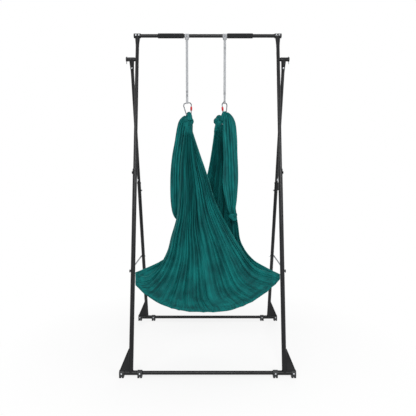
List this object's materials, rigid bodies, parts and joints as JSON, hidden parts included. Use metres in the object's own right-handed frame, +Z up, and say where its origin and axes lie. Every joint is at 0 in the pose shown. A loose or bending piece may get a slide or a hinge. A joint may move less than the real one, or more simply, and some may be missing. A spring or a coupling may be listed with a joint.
{
  "type": "aerial rig",
  "caption": "Folding A-frame rig of black tube with a high pull-up bar and a knotted aerial hammock hung on webbing straps and carabiners.",
  "frame": {"origin": "on the floor, in the middle of the footprint", "axes": "+Z up, +Y from the front frame that carries the bar to the rear frame, +X to the right as seen from the front"},
  "size_m": [1.572, 1.413, 2.9579],
  "materials": {
    "black_steel": "semi-gloss powder coat",
    "black_plastic": "moulded, fine texture",
    "black_foam": "matt foam",
    "bright_steel": "bright plated",
    "grey_steel": "zinc plated strip",
    "red_aluminium": "red anodised, knurled",
    "grey_webbing": "woven webbing",
    "teal_cloth": "smooth stretch knit"
  },
  "bodies": {
    "front_frame": {"front_base_middle_tube": "black_steel", "front_base_end_left": "black_steel", "front_base_end_right": "black_steel", "front_foot_outer_left": "black_plastic", "front_foot_outer_right": "black_plastic", "front_foot_inner_left": "black_plastic", "front_foot_inner_right": "black_plastic", "front_gusset_left": "black_steel", "front_gusset_right": "black_steel", "front_upright_lower_left": "black_steel", "front_upright_upper_left": "black_steel", "top_bracket_left": "black_steel", "hinge_axle_left": "black_steel", "hinge_collar_left": "bright_steel", "top_bar_cap_left": "black_plastic", "grip_left": "black_foam", "front_upright_lower_right": "black_steel", "front_upright_upper_right": "black_steel", "top_bracket_right": "black_steel", "hinge_axle_right": "black_steel", "hinge_collar_right": "bright_steel", "top_bar_cap_right": "black_plastic", "grip_right": "black_foam", "top_bar": "black_steel"},
    "rear_frame": {"rear_base_middle_tube": "black_steel", "rear_base_end_left": "black_steel", "rear_base_end_right": "black_steel", "rear_foot_outer_left": "black_plastic", "rear_foot_outer_right": "black_plastic", "rear_foot_inner_left": "black_plastic", "rear_foot_inner_right": "black_plastic", "rear_gusset_left": "black_steel", "rear_gusset_right": "black_steel", "rear_leg_lower_left": "black_steel", "rear_leg_upper_left": "black_steel", "hinge_barrel_left": "black_steel", "stay_bolt_left": "bright_steel", "rear_leg_lower_right": "black_steel", "rear_leg_upper_right": "black_steel", "hinge_barrel_right": "black_steel", "stay_bolt_right": "bright_steel"},
    "sling": {"strap_left": "grey_webbing", "carabiner_left": "bright_steel", "hammock_tail_left": "teal_cloth", "strap_right": "grey_webbing", "carabiner_right": "bright_steel", "hammock_tail_right": "teal_cloth", "hammock_cloth": "teal_cloth"},
    "carabiner_gate_left": {"carabiner_gate_left": "bright_steel"},
    "carabiner_gate_right": {"carabiner_gate_right": "bright_steel"},
    "lock_sleeve_left": {"lock_sleeve_left": "red_aluminium"},
    "lock_sleeve_right": {"lock_sleeve_right": "red_aluminium"},
    "side_stay_left": {"side_stay_left": "grey_steel"},
    "side_stay_right": {"side_stay_right": "grey_steel"},
    "upright_knob_left": {"upright_knob_left": "black_plastic"},
    "upright_knob_right": {"upright_knob_right": "black_plastic"},
    "stay_knob_left": {"stay_knob_left": "black_plastic"},
    "stay_knob_right": {"stay_knob_right": "black_plastic"},
    "rear_leg_pin_left": {"rear_leg_pin_left": "bright_steel"},
    "rear_leg_pin_right": {"rear_leg_pin_right": "bright_steel"}
  },
  "joints": [
    {"name": "rear_frame_fold", "type": "hinge", "parent": "front_frame", "child": "rear_frame", "pos_m": [0, -0.08424, 2.716], "axis": [-1, 0, 0], "range_deg": [0, 27]},
    {"name": "sling_swing", "type": "hinge", "parent": "front_frame", "child": "sling", "pos_m": [0, -0.035, 2.936], "axis": [1, 0, 0], "range_deg": [-4, 10]},
    {"name": "side_stay_left_swing", "type": "hinge", "parent": "rear_frame", "child": "side_stay_left", "pos_m": [-0.7115, 0.46843, 0.787], "axis": [-0.9987, -0.0519, 0], "range_deg": [0, 60]},
    {"name": "side_stay_right_swing", "type": "hinge", "parent": "rear_frame", "child": "side_stay_right", "pos_m": [0.7115, 0.46843, 0.787], "axis": [-0.9987, 0.0519, 0], "range_deg": [0, 60]},
    {"name": "carabiner_gate_left_swing", "type": "hinge", "parent": "sling", "child": "carabiner_gate_left", "pos_m": [-0.15292, -0.035, 2.25414], "axis": [0, -1, 0], "range_deg": [0, 25], "stiffness_Nm_per_rad": 0.2},
    {"name": "lock_sleeve_left_travel", "type": "slide", "parent": "carabiner_gate_left", "child": "lock_sleeve_left", "axis": [0.0154, 0, 0.9999], "range_m": [0, 0.008]},
    {"name": "carabiner_gate_right_swing", "type": "hinge", "parent": "sling", "child": "carabiner_gate_right", "pos_m": [0.14045, -0.05472, 2.24974], "axis": [-0.766, 0.6428, 0], "range_deg": [0, 25], "stiffness_Nm_per_rad": 0.2},
    {"name": "lock_sleeve_right_travel", "type": "slide", "parent": "carabiner_gate_right", "child": "lock_sleeve_right", "axis": [-0.0993, -0.1183, 0.988], "range_m": [0, 0.008]},
    {"name": "upright_knob_left_turn", "type": "hinge", "parent": "front_frame", "child": "upright_knob_left", "pos_m": [-0.64, -0.31204, 1.69703], "axis": [-1, 0, 0], "range_deg": [0, 360]},
    {"name": "stay_knob_left_turn", "type": "hinge", "parent": "front_frame", "child": "stay_knob_left", "pos_m": [-0.64, -0.49941, 0.859], "axis": [-1, 0, 0], "range_deg": [0, 360]},
    {"name": "rear_leg_pin_left_pull", "type": "slide", "parent": "rear_frame", "child": "rear_leg_pin_left", "axis": [1, 0, 0], "range_m": [0, 0.008], "stiffness_N_per_m": 400},
    {"name": "upright_knob_right_turn", "type": "hinge", "parent": "front_frame", "child": "upright_knob_right", "pos_m": [0.64, -0.31204, 1.69703], "axis": [1, 0, 0], "range_deg": [0, 360]},
    {"name": "stay_knob_right_turn", "type": "hinge", "parent": "front_frame", "child": "stay_knob_right", "pos_m": [0.64, -0.49941, 0.859], "axis": [1, 0, 0], "range_deg": [0, 360]},
    {"name": "rear_leg_pin_right_pull", "type": "slide", "parent": "rear_frame", "child": "rear_leg_pin_right", "axis": [-1, 0, 0], "range_m": [0, 0.008], "stiffness_N_per_m": 400}
  ],
  "couplings": [
    {"joint": "side_stay_left_swing", "follows": "rear_frame_fold", "ratio": 2.2222},
    {"joint": "side_stay_right_swing", "follows": "rear_frame_fold", "ratio": 2.2222}
  ]
}
